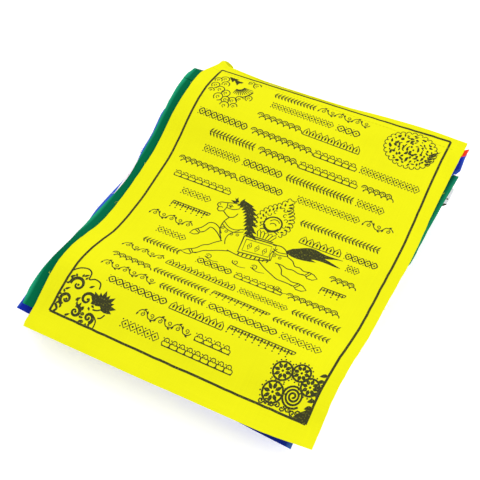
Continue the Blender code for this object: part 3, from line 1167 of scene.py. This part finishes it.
def cloth_finish(colour):
    """Dyed cotton with its plain weave, thicker threads here and there and the ink in it, with a painted
    highlight along its side edges and, where set, a painted glow.
    """
    material, shade, shader = new_finish(colour + "_cotton", 0.88, Specular_IOR_Level=0.05,
                                         Emission_Strength=DYES[colour].light_through)
    place = shade.node("ShaderNodeUVMap", uv_map="cloth")
    across = shade.node("ShaderNodeSeparateXYZ", {"Vector": place}, output="X")
    run = shade.node("ShaderNodeSeparateXYZ", {"Vector": place}, output="Y")
    turns = 2 * math.pi / THREAD_PITCH
    weave = (across * turns).sine() * (run * turns).sine() * 0.5 + 0.5
    weft_place = shade.node("ShaderNodeMapping", {"Vector": place, "Scale": (25, 2600, 1)})
    warp_place = shade.node("ShaderNodeMapping", {"Vector": place, "Scale": (2600, 25, 1)})
    weft_slub = shade.node("ShaderNodeTexNoise", {"Vector": weft_place, "Scale": 1.0, "Detail": 2.0})
    warp_slub = shade.node("ShaderNodeTexNoise", {"Vector": warp_place, "Scale": 1.0, "Detail": 2.0})
    slub = weft_slub * 0.5 + warp_slub * 0.5
    dye = shade.node("ShaderNodeTexNoise", {"Vector": place, "Scale": 28.0, "Detail": 4.0})
    tone = slub * 0.16 + dye * 0.10 + weave * 0.05 + 0.845
    dyed = shade.node("ShaderNodeVectorMath", {0: DYES[colour].cloth[:3], 1: tone}, operation="MULTIPLY")
    off_middle = shade.node("ShaderNodeMath", {0: across}, operation="ABSOLUTE")
    # Painted highlight: the outermost strip of each side edge is mixed towards the paler edge colour, as if
    # the edge caught the light
    painted_edge_light = shade.node("ShaderNodeMapRange", {"Value": off_middle + dye * 0.003, "From Min": EDGE_START,
                                                "From Max": EDGE_START + EDGE_DEPTH, "To Max": 0.8})
    cloth = shade.node("ShaderNodeMix", {"Factor": painted_edge_light, "A": dyed, "B": DYES[colour].edge},
                       output="Result", data_type="RGBA")
    ink = shade.node("ShaderNodeAttribute", output="Fac", attribute_name="ink")
    missed = shade.node("ShaderNodeTexNoise", {"Vector": place, "Scale": 900.0, "Detail": 3.0})
    thin = shade.node("ShaderNodeMapRange", {"Value": missed, "From Min": 0.3, "From Max": 0.45})
    ink_share = ink * (thin * 0.2 + 0.8)
    printed = shade.node("ShaderNodeMix", {"Factor": ink_share, "A": cloth, "B": INK_COLOUR},
                         output="Result", data_type="RGBA")
    feed(printed, shader, "Base Color")
    # Painted light: the white cloth glows with its own colour, standing in for light bounced up into the
    # shade under the pile
    if DYES[colour].light_through > 0:
        feed(printed, shader, "Emission Color")
    feed(0.92 - ink_share * 0.12, shader, "Roughness")
    relief_height = weave * 0.6 + slub * 0.8
    bump = shade.node("ShaderNodeBump", {"Height": relief_height, "Distance": 0.08 * MM, "Strength": 0.6})
    feed(bump, shader, "Normal")
    return material


cloth_finishes = {colour: cloth_finish(colour) for colour in DYES}
for index in range(LOWEST, -1, -1):
    flag = FLAGS[index]
    cloth = make_flag(index)
    cloth.data.materials.append(cloth_finishes[flag.colour])
    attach(cloth, "root")
    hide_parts(flag.name)
    flag.colour + "_cloth"
    cloth_length(index)

# Stitches and loose threads
# Each hem is sewn down by machine with one line of stitches, in thread of the cloth's colour. The
# raw side edges shed a few threads, and torn strips stand off the top flag's hem at its left end.
STITCH_LINE = 9.5 * MM
STITCH_PITCH = 2.8 * MM
STITCH_LENGTH = 2.0 * MM
STITCH_RADIUS = 0.14 * MM
LOOSE_RADIUS = 0.11 * MM
LOOSE_COUNT = 10
TORN_STRIP = [(-91.5, 130.2), (-89.9, 131.0), (-86.8, 130.3), (-83.2, 128.3), (-81.6, 126.8)]
TORN_RADIUS = 0.62 * MM
TORN_INSETS = (0, 1.2, 2.2)
THREAD_SEED = 40
STITCH_MARGIN = 6 * MM


def add_thread(bm, line, radius):
    """Adds a thin three-sided thread along a line of points."""
    last = len(line) - 1
    before = None
    for i, point in enumerate(line):
        way = (line[min(i + 1, last)] - line[max(i - 1, 0)]).normalized()
        side = way.cross(Vector((0, 0, 1))).normalized()
        up = side.cross(way)
        ring = []
        for k in range(3):
            angle = 2 * math.pi * k / 3
            ring.append(bm.verts.new(point + radius * (math.cos(angle) * side + math.sin(angle) * up)))
        if before:
            for k in range(3):
                bm.faces.new((before[k], before[(k + 1) % 3], ring[(k + 1) % 3], ring[k]))
        else:
            bm.faces.new(ring[::-1])
        before = ring
    bm.faces.new(before)


def stitch_lines(index, stations, runs):
    lines = []
    run = along_to_run(index, FLAGS[index].length * MM / 2 - STITCH_LINE)
    count = int((FLAG_WIDTH - STITCH_MARGIN) / STITCH_PITCH)
    for i in range(count):
        start = (i - count / 2) * STITCH_PITCH
        line = []
        for part, side in ((0, 0.2 * CLOTH), (0.2, 0.75 * CLOTH), (0.8, 0.75 * CLOTH), (1, 0.2 * CLOTH)):
            drift = 0.25 * MM * noise.noise(Vector((start / (20 * MM), index, 0)))
            line.append(cloth_place(index, stations, runs, start + part * STITCH_LENGTH, run + drift, side))
        lines.append(line)
    return lines


def loose_lines(index, stations, runs, chance):
    lines = []
    for k in range(LOOSE_COUNT):
        side = 1 if k % 2 else -1
        run = chance.uniform(0.02, 0.93) * runs[-1]
        along = run - FLAGS[index].length * MM / 2
        cuts = SIDE_CUTS.get(FLAGS[index].name)
        cut = smooth_table(cuts, "right" if side > 0 else "left")(along / MM) * MM if cuts else 0
        edge = side * FLAG_WIDTH / 2 + cut
        reach = chance.uniform(0.8, 2.2) * MM
        slant = chance.uniform(-2.5, 2.5) * MM
        line = []
        for part in (-0.6, 0, 0.35, 0.7, 1):
            place = run + slant * part * part
            line.append(cloth_place(index, stations, runs, edge + side * reach * part, place, 0))
        lines.append(line)
    return lines


def torn_strip(inset):
    line = []
    for across, along in through(TORN_STRIP, 4):
        x, y = plan_place(0, (across - 0.3 * inset) * MM, (along - inset) * MM)
        line.append(Vector((x, y, rest_height(0, x, y) + CLOTH_MIDDLE)))
    return line


def thread_finish(colour):
    """Spun thread: the cloth's dye, a little deeper, with fine twist marks."""
    dye = Vector(DYES[colour].cloth[:3]) * 0.9
    material, shade, shader = new_finish(colour + "_thread", 0.8, Specular_IOR_Level=0.1)
    place = shade.node("ShaderNodeTexCoord", output="Object")
    twist = shade.node("ShaderNodeTexNoise", {"Vector": place, "Scale": 3000.0, "Detail": 1.0})
    tone = shade.node("ShaderNodeVectorMath", {0: tuple(dye), 1: twist * 0.3 + 0.85}, operation="MULTIPLY")
    feed(tone, shader, "Base Color")
    bump = shade.node("ShaderNodeBump", {"Height": twist, "Strength": 0.3, "Distance": 0.05 * MM})
    feed(bump, shader, "Normal")
    return material


thread_finishes = {colour: thread_finish(colour) for colour in DYES}
for index, flag in enumerate(FLAGS):
    chance = random.Random(THREAD_SEED + index)
    stations = fold_stations(index, COARSE_GRID)
    runs = [station.run for station in stations]
    bm = bmesh.new()
    for line in stitch_lines(index, stations, runs):
        add_thread(bm, line, STITCH_RADIUS)
    for line in loose_lines(index, stations, runs, chance):
        add_thread(bm, line, LOOSE_RADIUS)
    if index == 0:
        for inset in TORN_INSETS:
            add_thread(bm, torn_strip(inset), TORN_RADIUS)
    mesh = bpy.data.meshes.new(flag.name + "_threads")
    bm.to_mesh(mesh)
    bm.free()
    mesh.shade_smooth()
    threads = add_object(flag.name + "_threads", mesh)
    mesh.materials.append(thread_finishes[flag.colour])
    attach(threads, "root")
    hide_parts(flag.name)
    flag.colour + "_cloth"

# Floor and light
# A plain white floor under a wide, soft studio light, bright enough that the floor is white.
FLOOR_REACH = 6.0
ROOM_STRENGTH = 0.76
FLOOR_GLOW = 0.37

Lamp = namedtuple("Lamp", "name x y z size power")
LAMPS = [
    Lamp("key", -0.55, 0.75, 1.1, 1.0, 6.5),
    Lamp("fill", 1.1, -0.2, 0.55, 1.0, 6.0),
]

floor_mesh = bpy.data.meshes.new("floor")
floor_bm = bmesh.new()
bmesh.ops.create_grid(floor_bm, x_segments=1, y_segments=1, size=FLOOR_REACH)
floor_bm.to_mesh(floor_mesh)
floor_bm.free()
floor = add_object("floor", floor_mesh)
floor_material, _, floor_shader = new_finish("floor_white", 0.9)
floor_shader.inputs["Base Color"].default_value = (0.95, 0.95, 0.95, 1)
floor_shader.inputs["Emission Color"].default_value = (1, 1, 1, 1)
floor_shader.inputs["Emission Strength"].default_value = FLOOR_GLOW
floor_mesh.materials.append(floor_material)

world = bpy.data.worlds.new("studio")
world.use_nodes = True
world.node_tree.nodes["Background"].inputs["Color"].default_value = (1, 1, 1, 1)
world.node_tree.nodes["Background"].inputs["Strength"].default_value = ROOM_STRENGTH
bpy.context.scene.world = world
bpy.context.scene.view_settings.view_transform = "Standard"

for lamp in LAMPS:
    lamp_data = bpy.data.lights.new(lamp.name, "AREA")
    lamp_data.size = lamp.size
    lamp_data.energy = lamp.power
    light = add_object(lamp.name, lamp_data)
    light.location = (lamp.x, lamp.y, lamp.z)
    light.rotation_euler = Vector((lamp.x, lamp.y, lamp.z)).to_track_quat("Z", "Y").to_euler()
